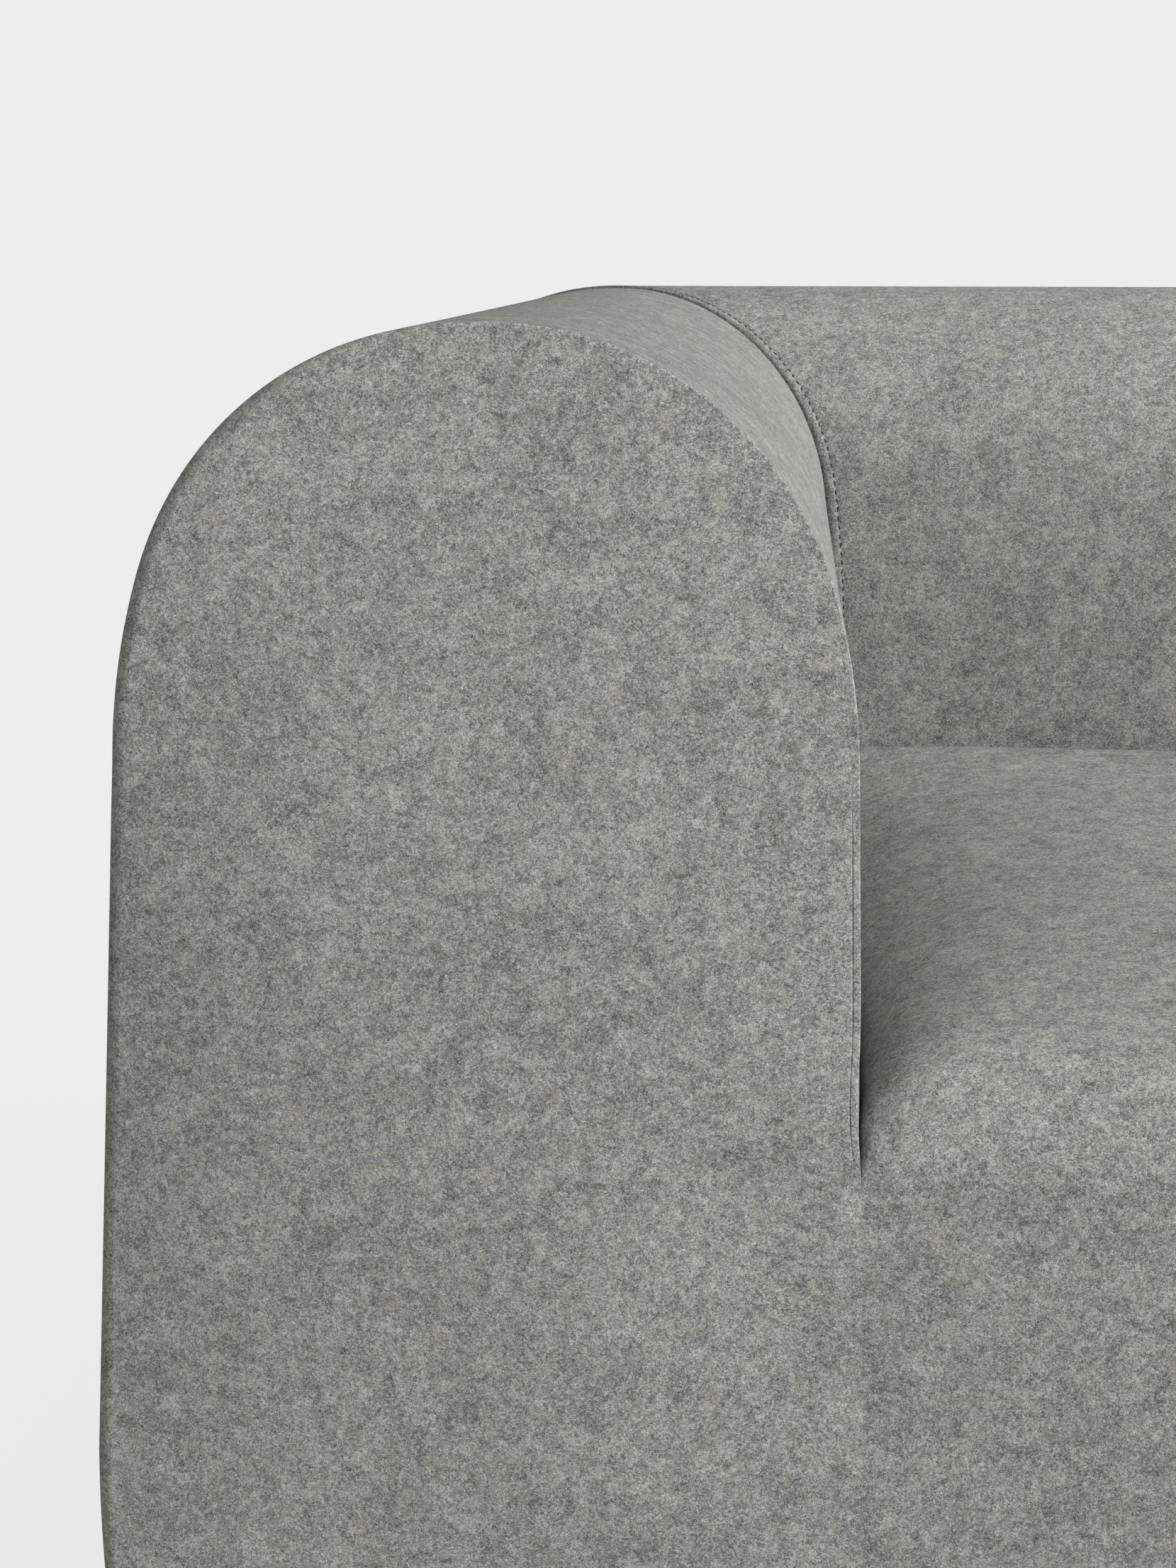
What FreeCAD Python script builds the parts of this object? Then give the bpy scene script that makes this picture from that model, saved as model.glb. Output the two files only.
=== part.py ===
import FreeCAD, Part
import math
import os

# Modular sofa, millimetres, +Z up, front facing -Y, floor at Z = 0, joint between the modules at X = 0.
# The left module is modelled and the right one is its mirror image.

# Overall form
module_width = 1048.5  # one module, outer side to joint side
joint_gap = 3.0  # between the two modules
module_depth = 935.0
body_height = 684.0
ground_gap = 45.0  # floor to the underside of the covers

# Rounded section shared by arm and backrest
bolster_half = 185.0  # half thickness at the shoulder
shoulder_drop = 216.0  # from the top down to the straight side
shoulder_ease = 5.0  # half thickness less the crown radius
flare = 3.5  # the side stands out this far more at its foot
tuck_height = 75.0  # the foot of the side curves in over this height
tuck = 6.0
corner_draw = 38.0  # the inner side draws in this far at the corner seam
panel_edge = 10.0  # rounding round the arm's front panel
joint_edge = 12.0  # rounding round the backrest's joint side
edge_steps = 3  # strips in a rounding

# Seat
seat_top = 412.0  # highest line of the seat
seat_fall = 10.0  # fall from there to the backrest
seat_apex = 345.0  # highest line behind the front
waterfall = 135.0  # radius of the front roll
seat_side_roll = 36.0  # roll beside the arm
seat_joint_roll = 14.0  # roll at the joint
seat_crown = 6.0  # fall from the middle to the sides
seat_gap = 1.0  # clearance to arm and backrest
apron = 50.0  # padding in front of the front rail

# Cover and foam
cover = 2.5  # felt thickness
foam = 45.0  # over the formers
foam_corner = 40.0  # over the formers on the drawn-in side
end_foam = 20.0  # at the backrest's joint side
former_clear = 0.2  # foam to formers
hem = 40.0  # turned under the base board
cloth = 0.8  # dust cloth
cloth_inset = 22.0

# Plywood and timber
board = 18.0
board_inset = 12.0  # inside the covers' outline
batten_width = 40.0
batten_thick = 22.0
batten_edge = 4.0  # former left outside a batten
batten_height = 400.0  # middle of the side battens
batten_clear = 0.2
arm_rib_count = 4
back_rib_count = 5
rail = 22.0
rail_top = 186.0
rail_clear = 3.0  # rails to the covers
window_rim = 30.0  # base board left inside the rails
block = 60.0  # corner block leg
block_height = 90.0
post = 60.0  # square corner post

# Springs
spring_count = 5
spring_turns = 20
spring_wire = 3.6
spring_bar = 30.0  # straight bar between bends
clip_length = 14.0
clip_depth = 10.0
clip_height = 6.4
clip_clear = 0.1
pad = 4.0

# Fasteners
screw_shank = 2.2  # radius
screw_head = 4.5  # radius
screw_head_height = 2.5
screw_length = 45.0
screw_clear = 0.1
rail_screws = 3
connector_screw_length = 20.0

# Feet
foot_base = 30.0  # radius
foot_top = 26.0  # radius
foot_clear = 0.3  # to the dust cloth
foot_chamfer = 3.0
stud = 4.9  # radius
stud_length = 36.0
nut_bore_clear = 0.2
nut_wall = 2.0
nut_barrel = 14.0
nut_flange = 11.0  # radius
nut_flange_thick = 1.6
cloth_hole = 7.0  # radius
foot_from_side = 98.0
foot_from_front = 110.0
foot_from_back = 128.0
foot_from_joint = 110.0

# Connectors
connector_places = (-280.0, 300.0)  # along the depth
connector_length = 50.0
connector_half = 40.0
connector_plate = 3.9
connector_setback = 6.0  # from the joint
tongue_half = 16.0
tongue_thick = 4.2
tongue_reach = 40.0  # past the joint
socket_clear = 0.4
socket_wall = 5.0
ear_screw = 31.0  # screw from the connector's middle

margin = 60.0  # how far cutting blocks stand outside

# Derived places
joint_x = -joint_gap / 2
outer_x = joint_x - module_width
front_y = -module_depth / 2
rear_y = module_depth / 2
arm_x = outer_x + flare + bolster_half
back_y = rear_y - flare - bolster_half
shoulder_z = body_height - shoulder_drop
tuck_z = ground_gap + tuck_height
tuck_radius = (tuck_height**2 + tuck**2) / (2 * tuck)
arm_corner = back_y - front_y  # arm's length to the backrest's middle line
back_corner = joint_x - arm_x  # backrest's length to the arm's middle line
arm_slope = corner_draw / (arm_corner - bolster_half + corner_draw)
back_slope = corner_draw / (back_corner - bolster_half + corner_draw)
board_z = ground_gap + cover
deck_z = rail_top + clip_height + pad
floor_z = board_z + board
reach = bolster_half + flare
apron_y = front_y + apron
inner_face = back_y - reach  # backrest's front face at the joint
inner_half = bolster_half - corner_draw - cover - foam_corner
outer_half = bolster_half - cover - foam
wide = reach + margin
rail_left = arm_x + reach + rail_clear
rail_right = joint_x - cover
rail_back = inner_face - rail_clear
side_start = apron_y + rail  # side rails run between front and rear rails
side_end = rail_back - rail
wire_z = rail_top + clip_height / 2
wire_start = apron_y + rail / 2
wire_end = rail_back - rail / 2
spring_bay = (rail_right - rail_left - 2 * rail) / spring_count
plate_z = ground_gap - cloth
tongue_z = plate_z - connector_plate
plate_far = joint_x - connector_setback - connector_length
plate_near = joint_x - connector_setback


def vec(x, y, z):
    return FreeCAD.Vector(x, y, z)


def on_arm(u, v, z):
    # u across the arm towards the seat, v back from the front
    return vec(arm_x + u, front_y + v, z)


def on_back(u, v, z):
    # u across the backrest towards the seat, v from the joint outwards
    return vec(joint_x - v, back_y - u, z)


def line(start, end):
    return Part.LineSegment(start, end).toShape()


def arc(centre, start, end):
    # shorter arc about a centre
    middle = (start - centre) + (end - centre)
    middle.normalize()
    return Part.Arc(start, centre + middle * (start - centre).Length, end).toShape()


def box(low, high):
    return Part.makeBox(high.x - low.x, high.y - low.y, high.z - low.z, low)


def prism(points, height):
    face = Part.Face(Part.makePolygon(points + [points[0]]))
    return face.extrude(vec(0, 0, height))


def rod(radius, height, base):
    return Part.makeCylinder(radius, height, base, vec(0, 0, 1))


def half_outline(half, top):
    # straight side, shoulder arc and crown arc, tangent to each other
    rise = top - shoulder_z
    crown = half - shoulder_ease
    shoulder = (half - rise) ** 2 / (2 * shoulder_ease) + rise
    shoulder_centre = (half - shoulder, shoulder_z)
    crown_centre = (0.0, top - crown)
    run = -shoulder_centre[0]
    climb = crown_centre[1] - shoulder_centre[1]
    share = shoulder / math.hypot(run, climb)
    meet = (shoulder_centre[0] + run * share, shoulder_centre[1] + climb * share)
    return shoulder_centre, crown_centre, meet


def half_edges(place, v, side, half, top, low_z):
    # one half of the section, from its foot up to the crown; side is 1 towards the seat, -1 away from it
    shoulder_centre, crown_centre, meet = half_outline(half, top)

    def put(point):
        return place(side * point[0], v, point[1])

    inset = body_height - top
    foot_centre = (half + flare + inset - tuck_radius, tuck_z)
    foot_radius = tuck_radius - inset
    foot = (foot_centre[0] + math.sqrt(foot_radius**2 - (tuck_z - low_z) ** 2), low_z)
    low = (half + flare, tuck_z)
    high = (half, shoulder_z)
    edges = [
        arc(put(foot_centre), put(foot), put(low)),
        line(put(low), put(high)),
        arc(put(shoulder_centre), put(high), put(meet)),
        arc(put(crown_centre), put(meet), put((0.0, top))),
    ]
    return edges, put(foot)


def bolster_section(place, v, draw, inset, low_z):
    # closed tombstone outline, drawn in on the seat's side
    top = body_height - inset
    away, away_foot = half_edges(place, v, -1, bolster_half - inset, top, low_z)
    near, near_foot = half_edges(place, v, 1, bolster_half - draw - inset, top, low_z)
    return Part.Wire(away + near[::-1] + [line(near_foot, away_foot)])


def rounding(radius, inset):
    # distance along and inset for each strip of a quarter-round edge
    inner = radius - inset
    for step in range(edge_steps + 1):
        turn = math.pi / 2 * step / edge_steps
        yield inset + inner * (1 - math.cos(turn)), inset + inner * (1 - math.sin(turn))


def bolster(place, corner, slope, edge, inset, low_z):
    # rounded end at v = 0, running past the corner
    sections = [
        bolster_section(place, v, slope * v, depth, low_z) for v, depth in rounding(edge, inset)
    ]
    far = corner + reach + margin
    sections.append(bolster_section(place, far, slope * far, inset, low_z))
    return Part.makeLoft(sections, True, True)


def mitre(place, corner):
    # everything on one side of the 45 degree corner plane
    points = [(-wide, -margin), (wide, -margin), (wide, corner - wide), (-wide, corner + wide)]
    return prism([place(u, v, -margin) for u, v in points], body_height + 2 * margin)


def cavity(place, start, corner, clear):
    # straight hollow for the formers, inside the foam
    top = body_height - cover - foam + clear
    sections = []
    for v in (start - clear, corner + reach):
        edges = []
        feet = []
        for side, half in ((-1, outer_half + clear), (1, inner_half + clear)):
            shoulder_centre, crown_centre, meet = half_outline(half, top)
            foot = place(side * half, v, floor_z)
            high = place(side * half, v, shoulder_z)
            joint = place(side * meet[0], v, meet[1])
            up = [
                line(foot, high),
                arc(place(side * shoulder_centre[0], v, shoulder_z), high, joint),
                arc(place(0.0, v, crown_centre[1]), joint, place(0.0, v, top)),
            ]
            edges += up if side < 0 else up[::-1]
            feet.append(foot)
        sections.append(Part.Wire(edges + [line(feet[1], feet[0])]))
    return Part.makeLoft(sections, True, True)


def slab(place, v, thick, inside):
    # slice of a hollow, one former thick
    return inside.common(place_box(place, (-wide, v, floor_z), (wide, v + thick, body_height)))


def place_box(place, low, high):
    # upright box between two corners given along the arm or the backrest
    corners = [place(*low), place(*high)]
    return box(
        vec(*(min(p[i] for p in corners) for i in range(3))),
        vec(*(max(p[i] for p in corners) for i in range(3))),
    )


def battens(place, start, end, clear):
    top = body_height - cover - foam - batten_edge
    half_wide = batten_width / 2 + clear
    runs = [
        ((-half_wide, start, top - batten_thick - clear), (half_wide, end, top + clear)),
    ]
    for face in (-outer_half + batten_edge, inner_half - batten_edge - batten_thick):
        low = (face - clear, start, batten_height - half_wide)
        high = (face + batten_thick + clear, end, batten_height + half_wide)
        runs.append((low, high))
    return [place_box(place, low, high) for low, high in runs]


def former_frame(place, start, corner, count):
    # formers spread evenly between the padded end and the corner, notched round three battens
    inside = cavity(place, start, corner, 0.0)
    last = corner - inner_half - board - batten_clear
    places = [start + (last - start) * i / (count - 1) for i in range(count)]
    notches = battens(place, start - margin, last + board + margin, batten_clear)
    ribs = [slab(place, v, board, inside).cut(notches) for v in places]
    return ribs, battens(place, start, last + board, 0.0), places


def base_outline():
    low = vec(outer_x + board_inset, front_y + board_inset, board_z)
    return box(low, vec(joint_x - cover - seat_gap, rear_y - board_inset, floor_z))


def screw(x, y, z, length, clear):
    # flush head downwards
    shank = rod(screw_shank + clear, length + clear, vec(x, y, z))
    return shank.fuse(rod(screw_head + clear, screw_head_height + clear, vec(x, y, z)))


def seat_face_x(y):
    # the arm's inner face, which draws in towards the corner
    return arm_x + reach - arm_slope * (y - front_y) + seat_gap


def seat_section(offset, from_arm, drop, inset, under, low_z):
    # outline of the seat at one distance from its side; under opens the hidden faces for a hollow cover
    def x_at(y):
        if from_arm is None:
            return (seat_face_x(y) + joint_x) / 2
        return seat_face_x(y) + offset if from_arm else joint_x - offset

    def put(y, z):
        return vec(x_at(y), y, z)

    front = front_y + inset
    back = inner_face + back_slope * (joint_x - x_at(inner_face)) - seat_gap - inset
    apex_y = front_y + seat_apex
    crown = ((inner_face - apex_y) ** 2 + seat_fall**2) / (2 * seat_fall)
    centre_y = apex_y
    centre_z = seat_top - crown - drop
    roll_y = front_y + waterfall
    roll_z = centre_z + math.sqrt((crown - waterfall) ** 2 - (roll_y - centre_y) ** 2)
    share = (crown - inset) / (crown - waterfall)
    meet = (centre_y + (roll_y - centre_y) * share, centre_z + (roll_z - centre_z) * share)
    back_z = centre_z + math.sqrt((crown - inset) ** 2 - (back - centre_y) ** 2)
    foot_radius = tuck_radius - inset
    foot_y = front_y + tuck_radius - math.sqrt(foot_radius**2 - (tuck_z - low_z) ** 2)
    hidden_y = apron_y + under
    hidden_z = deck_z - under
    return Part.Wire(
        [
            line(put(front, tuck_z), put(front, roll_z)),
            arc(put(roll_y, roll_z), put(front, roll_z), put(*meet)),
            arc(put(centre_y, centre_z), put(*meet), put(back, back_z)),
            line(put(back, back_z), put(back, hidden_z)),
            line(put(back, hidden_z), put(hidden_y, hidden_z)),
            line(put(hidden_y, hidden_z), put(hidden_y, low_z)),
            line(put(hidden_y, low_z), put(foot_y, low_z)),
            arc(put(front_y + tuck_radius, tuck_z), put(foot_y, low_z), put(front, tuck_z)),
        ]
    )


def seat_form(inset, under, low_z):
    sections = []
    for offset, depth in rounding(seat_side_roll, inset):
        drop = depth - inset + seat_crown
        sections.append(seat_section(offset, True, drop, inset, under, low_z))
    sections.append(seat_section(0.0, None, 0.0, inset, under, low_z))
    for offset, depth in reversed(list(rounding(seat_joint_roll, inset))):
        drop = depth - inset + seat_crown
        sections.append(seat_section(offset, False, drop, inset, under, low_z))
    return Part.makeLoft(sections, True, True)


def sinuous(x, start, end, z):
    # zigzag wire: bars across the seat joined by half-round bends, in quarter turns
    bend = (end - start) / (2 * spring_turns)
    half = spring_bar / 2
    edges = []
    for turn in range(spring_turns + 1):
        side = 1 if turn % 2 == 0 else -1
        y = start + 2 * bend * turn
        edges.append(line(vec(x - side * half, y, z), vec(x + side * half, y, z)))
        if turn < spring_turns:
            centre = vec(x + side * half, y + bend, z)
            tip = vec(x + side * (half + bend), y + bend, z)
            edges.append(arc(centre, vec(x + side * half, y, z), tip))
            edges.append(arc(centre, tip, vec(x + side * half, y + 2 * bend, z)))
    path = Part.Wire(edges)
    ring = Part.Circle(vec(x - half, start, z), vec(1, 0, 0), spring_wire / 2).toShape()
    return path.makePipeShell([Part.Wire(ring)], True, False), path.Length


def foot(x, y):
    # moulded glide with its threaded stud
    height = ground_gap - cloth - foot_clear
    glide = Part.makeCone(foot_base - foot_chamfer, foot_base, foot_chamfer, vec(x, y, 0))
    body = Part.makeCone(foot_base, foot_top, height - foot_chamfer, vec(x, y, foot_chamfer))
    return glide.fuse([body, rod(stud, stud_length, vec(x, y, height))]).removeSplitter()


def tee_nut(x, y):
    bore = stud + nut_bore_clear
    barrel = rod(bore + nut_wall, nut_barrel, vec(x, y, floor_z - nut_barrel))
    flange = rod(nut_flange, nut_flange_thick, vec(x, y, floor_z))
    hole = rod(bore, board + 2 * margin, vec(x, y, floor_z - board - margin))
    return barrel.fuse(flange).cut(hole)


bolsters = (
    ("arm", on_arm, arm_corner, arm_slope, panel_edge, cover + foam, arm_rib_count),
    ("back", on_back, back_corner, back_slope, joint_edge, cover + end_foam, back_rib_count),
)


def upholstered_bolsters():
    # covers, foam and formers of arm and backrest, with the screw spots under the formers
    parts = {}
    spots = [(arm_x, back_y)]
    for name, place, corner, slope, edge, start, count in bolsters:
        half_space = mitre(place, corner)
        outside = bolster(place, corner, slope, edge, 0.0, ground_gap)
        inside = bolster(place, corner, slope, edge, cover, board_z)
        hem_hole = (-reach + hem, hem, ground_gap - margin)
        under = place_box(place, hem_hole, (wide, corner + wide, board_z))
        parts[name + "_cover"] = outside.cut([inside, under, base_outline()]).common(half_space)
        hollow = cavity(place, start, corner, former_clear)
        below = place_box(place, (-wide, -margin, ground_gap - margin), (wide, corner + wide, floor_z))
        parts[name + "_foam"] = inside.cut([hollow, below]).common(half_space)
        ribs, sticks, places = former_frame(place, start, corner, count)
        parts[name + "_ribs"] = ribs
        parts[name + "_stringers"] = sticks
        for v in places:
            for u in (-outer_half / 2, inner_half / 2):
                spot = place(u, v + board / 2, 0)
                spots.append((spot.x, spot.y))
    half = post / 2
    top = body_height - cover - foam - batten_edge - batten_thick
    low = vec(arm_x - half, back_y - half, floor_z)
    parts["corner_post"] = box(low, vec(arm_x + half, back_y + half, top))
    return parts, spots


def seat_box():
    # four rails and their corner blocks on the base board, with the screw spots under the rails
    parts = {
        "front_rail": box(vec(rail_left, apron_y, floor_z), vec(rail_right, side_start, rail_top)),
        "rear_rail": box(vec(rail_left, side_end, floor_z), vec(rail_right, rail_back, rail_top)),
        "arm_rail": box(vec(rail_left, side_start, floor_z), vec(rail_left + rail, side_end, rail_top)),
        "joint_rail": box(vec(rail_right - rail, side_start, floor_z), vec(rail_right, side_end, rail_top)),
    }
    blocks = []
    for x, turn_x in ((rail_left + rail, block), (rail_right - rail, -block)):
        for y, turn_y in ((side_start, block), (side_end, -block)):
            points = [vec(x, y, floor_z), vec(x + turn_x, y, floor_z), vec(x, y + turn_y, floor_z)]
            blocks.append(prism(points, block_height))
    parts["corner_blocks"] = blocks
    spots = []
    for i in range(rail_screws):
        x = rail_left + rail + spring_bay * (0.5 + i * (spring_count - 1) / (rail_screws - 1))
        spots += [(x, wire_start), (x, wire_end)]
    for y in (side_start + block, side_end - block):
        spots += [(rail_left + rail / 2, y), (rail_right - rail / 2, y)]
    return parts, spots


def spring_deck():
    # springs from the front rail to the rear rail, held by clips, under a felt pad
    springs = []
    clips = []
    for i in range(spring_count):
        x = rail_left + rail + spring_bay * (i + 0.5)
        spring, length = sinuous(x, wire_start, wire_end, wire_z)
        springs.append(spring)
        for y in (wire_start, wire_end):
            low = vec(x - clip_length / 2, y - clip_depth / 2, rail_top)
            clip = Part.makeBox(clip_length, clip_depth, clip_height, low)
            mouth = vec(low.x, y, wire_z)
            bore = Part.makeCylinder(spring_wire / 2 + clip_clear, clip_length, mouth, vec(1, 0, 0))
            clips.append(clip.cut(bore))
    print("spring volume", spring.Volume, "section times length", math.pi * spring_wire**2 / 4 * length)
    pad_low = vec(rail_left, apron_y + seat_gap, rail_top + clip_height)
    sheet = box(pad_low, vec(rail_right, rail_back, deck_z))
    return {"seat_springs": springs, "spring_clips": clips, "spring_pad": sheet}


def seat():
    # crowned seat foam, its hollow cover and the cloth below it on the joint side
    far = vec(joint_x + margin, rear_y, floor_z)
    behind = box(vec(outer_x, front_y + hem, ground_gap - margin), far)
    below = box(vec(outer_x, front_y - margin, ground_gap - margin), far)
    shell = seat_form(0.0, 0.0, ground_gap).cut(seat_form(cover, cover, board_z))
    side_low = vec(rail_right, apron_y + seat_gap, ground_gap)
    return {
        "seat_foam": seat_form(cover, 0.0, board_z).cut(below),
        "seat_cover": shell.cut([base_outline(), behind]),
        "joint_side_cloth": box(side_low, vec(joint_x, inner_face - seat_gap, deck_z - seat_gap)),
    }


foot_spots = {
    "front_outer_foot": (outer_x + foot_from_side, front_y + foot_from_front),
    "rear_outer_foot": (outer_x + foot_from_side, rear_y - foot_from_back),
    "front_joint_foot": (joint_x - foot_from_joint, side_start + window_rim / 2),
    "rear_joint_foot": (joint_x - foot_from_joint, rear_y - foot_from_back),
}
connector_spots = [
    ((plate_far + plate_near) / 2, y + ear) for y in connector_places for ear in (-ear_screw, ear_screw)
]


def connector_screws(clear):
    low = tongue_z - screw_head_height
    return [screw(x, y, low, connector_screw_length, clear) for x, y in connector_spots]


def base(frame_holes):
    # base board with its window under the seat, and the dust cloth below it
    barrel = stud + nut_bore_clear + nut_wall
    tall = board + 2 * margin
    nut_holes = [rod(barrel, tall, vec(x, y, board_z - margin)) for x, y in foot_spots.values()]
    stud_holes = [rod(cloth_hole, tall, vec(x, y, board_z - margin)) for x, y in foot_spots.values()]
    window_low = vec(rail_left + rail + window_rim, side_start + window_rim, board_z - margin)
    window_high = vec(rail_right - rail - window_rim, side_end - window_rim, floor_z + margin)
    openings = [box(window_low, window_high)] + nut_holes + frame_holes + connector_screws(screw_clear)
    cloth_low = vec(outer_x + cloth_inset, front_y + cloth_inset, plate_z)
    sheet = box(cloth_low, vec(joint_x - cloth_inset, rear_y - cloth_inset, ground_gap))
    return {
        "base_board": base_outline().cut(openings),
        "bottom_cloth": sheet.cut(stud_holes + connector_screws(screw_clear)),
        "foot_nuts": [tee_nut(x, y) for x, y in foot_spots.values()],
    }


def module():
    parts, spots = upholstered_bolsters()
    box_parts, rail_spots = seat_box()
    spots += rail_spots
    parts.update(box_parts)
    holes = [screw(x, y, board_z, screw_length, screw_clear) for x, y in spots]
    for name in ("front_rail", "rear_rail", "arm_rail", "joint_rail", "corner_post"):
        parts[name] = parts[name].cut(holes)
    for name in ("arm_ribs", "back_ribs"):
        parts[name] = [rib.cut(holes) for rib in parts[name]]
    parts.update(spring_deck())
    parts.update(seat())
    parts.update(base(holes))
    parts.update({name: foot(x, y) for name, (x, y) in foot_spots.items()})
    parts["back_cover"] = parts["back_cover"].cut(connector_screws(screw_clear))
    parts["frame_screws"] = [screw(x, y, board_z, screw_length, 0.0) for x, y in spots]
    parts["connector_screws"] = connector_screws(0.0)
    return parts


def connector_base(y, bottom):
    return box(vec(plate_far, y - connector_half, bottom), vec(plate_near, y + connector_half, plate_z))


def tongues():
    # flat plates that reach past the joint
    plates = []
    for y in connector_places:
        low = vec(plate_far, y - tongue_half, tongue_z - tongue_thick)
        tongue = box(low, vec(tongue_reach, y + tongue_half, tongue_z))
        plate = connector_base(y, tongue_z).fuse(tongue)
        plates.append(plate.cut(connector_screws(screw_clear)).removeSplitter())
    return plates


def sockets():
    # boxes open towards the joint, which take the tongues; built on the left and mirrored with the module
    boxes = []
    roof = tongue_z + socket_clear
    slot = tongue_z - tongue_thick - socket_clear
    room_half = tongue_half + socket_clear
    half = room_half + socket_wall
    for y in connector_places:
        hull = box(vec(plate_far, y - half, slot - socket_wall), vec(plate_near, y + half, roof))
        room = box(vec(plate_far + socket_wall, y - room_half, slot), vec(plate_near, y + room_half, roof))
        socket = connector_base(y, roof).fuse(hull.cut(room))
        boxes.append(socket.cut(connector_screws(screw_clear)).removeSplitter())
    return boxes


def save(name, shape):
    solids = shape if isinstance(shape, list) else shape.Solids
    joined = Part.Compound(solids) if len(solids) > 1 else solids[0]
    if not joined.isValid():
        print("not valid:", name)
    print(name, len(solids), "solids", round(joined.Volume / 1000, 2), "cm3")
    joined.exportStep("parts/" + name + ".step")


def mirrored(shape):
    if isinstance(shape, list):
        return [mirrored(item) for item in shape]
    return shape.mirror(vec(0, 0, 0), vec(1, 0, 0))


os.makedirs("parts", exist_ok=True)
left = module()
right = {name: mirrored(shape) for name, shape in left.items()}
left["connectors"] = tongues()
right["connectors"] = mirrored(sockets())
for side, parts in (("left", left), ("right", right)):
    for name, shape in parts.items():
        save(side + "_" + name, shape)
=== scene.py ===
import math

import bmesh
import bpy
import numpy as np
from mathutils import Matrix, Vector


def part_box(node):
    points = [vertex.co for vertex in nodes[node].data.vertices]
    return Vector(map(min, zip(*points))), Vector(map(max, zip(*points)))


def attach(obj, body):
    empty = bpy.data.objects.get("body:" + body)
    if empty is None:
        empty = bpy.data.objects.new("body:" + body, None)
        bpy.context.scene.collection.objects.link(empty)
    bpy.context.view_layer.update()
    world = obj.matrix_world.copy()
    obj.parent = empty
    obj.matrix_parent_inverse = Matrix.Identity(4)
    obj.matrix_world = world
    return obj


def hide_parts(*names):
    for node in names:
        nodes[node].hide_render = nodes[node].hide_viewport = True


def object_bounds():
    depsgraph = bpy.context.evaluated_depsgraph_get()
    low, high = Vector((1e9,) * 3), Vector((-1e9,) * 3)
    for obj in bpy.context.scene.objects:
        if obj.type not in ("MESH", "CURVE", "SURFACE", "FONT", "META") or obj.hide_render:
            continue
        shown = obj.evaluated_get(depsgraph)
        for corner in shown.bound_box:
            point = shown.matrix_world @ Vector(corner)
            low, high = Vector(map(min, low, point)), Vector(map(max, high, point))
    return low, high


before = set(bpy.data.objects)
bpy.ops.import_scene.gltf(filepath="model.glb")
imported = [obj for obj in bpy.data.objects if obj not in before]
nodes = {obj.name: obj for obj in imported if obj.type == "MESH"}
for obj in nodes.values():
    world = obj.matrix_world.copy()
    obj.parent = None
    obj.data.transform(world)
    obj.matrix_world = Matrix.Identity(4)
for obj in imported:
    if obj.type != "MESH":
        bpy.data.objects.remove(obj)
cadLow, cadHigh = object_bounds()
mm = 0.001
print("stage: frame loaded", len(nodes), "nodes")


def corners(node):
    low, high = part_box(node)
    return np.array(low), np.array(high)


def smooth(start, end, x):
    f = np.clip((x - start) / (end - start), 0, 1)
    return f * f * (3 - 2 * f)


def bell(x, width):
    return np.exp(-(x / width) ** 2)


armLow, armHigh = corners("left_arm_cover")
backHigh = corners("left_back_cover")[1]
seatLow, seatHigh = corners("left_seat_cover")

# the section of arm and backrest: a hem roll, a tucked foot, a side that flares downwards,
# a large shoulder arc and a crown arc that meet on the line through their centres
bolster = {
    "cadReach": 188.5 * mm,
    "half": 184.2 * mm,
    "ease": 5 * mm,
    "shoulderDrop": 216 * mm,
    "flareOut": 10.8 * mm,
    "flareIn": 3.5 * mm,
    "fullness": 5.3 * mm,
    "sideFullness": 0.3 * mm,
    "crownStart": 0.276,  # angle at which the shoulder arc hands over to the crown arc
    "rearSink": 1.2 * mm,
    "tuckHeight": 75 * mm,
    "tuckRadius": 800 * mm,
    "hemRadius": 9 * mm,
    "cornerDraw": 38 * mm,
    "steps": (5, 8, 40, 36, 66),
}
groundZ = armLow[2]
topZ = armHigh[2]
frontY = armLow[1]
rearY = backHigh[1]
jointX = backHigh[0]
armX = armLow[0] + bolster["cadReach"]
backY = rearY - bolster["cadReach"]
shoulderZ = topZ - bolster["shoulderDrop"]
tuckZ = groundZ + bolster["tuckHeight"]
armCorner = backY - frontY
backCorner = jointX - armX

upSegment = np.append(np.repeat(np.arange(5), bolster["steps"]), 4)
upPart = np.append(np.concatenate([np.arange(n) / n for n in bolster["steps"]]), 1.0)
rowCount = len(upSegment)
loopSegment = np.append(upSegment, upSegment[-2::-1])
loopPart = np.append(upPart, upPart[-2::-1])
loopSide = np.append(-np.ones(rowCount), np.ones(rowCount - 1))
loopFlare = np.where(loopSide < 0, bolster["flareOut"], bolster["flareIn"])
loopCount = len(loopSide)
loopTuck = np.where(loopSide < 0, 1.0, 0.0)

# the outer shoulder is fuller than an arc, most of all halfway round it, and the side's top a trace fuller;
# crownTurn is the angle round the shoulder from the side to the crown
crownStart = bolster["crownStart"]
crownTurn = np.select([loopSegment == 3, loopSegment == 4], [
    crownStart * loopPart, crownStart + (math.pi / 2 - crownStart) * loopPart])
sideShare = np.select([loopSegment == 2, loopSegment > 2], [loopPart**3, (1 - 2 * crownTurn / math.pi) ** 4])
shoulderShare = np.clip(np.sin(2 * crownTurn), 0, 1) ** 1.5
loopFull = loopTuck * (bolster["fullness"] * shoulderShare + bolster["sideFullness"] * sideShare)


def tuckIn(z):
    return bolster["tuckRadius"] - np.sqrt(bolster["tuckRadius"] ** 2 - np.clip(tuckZ - z, 0, None) ** 2)


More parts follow.
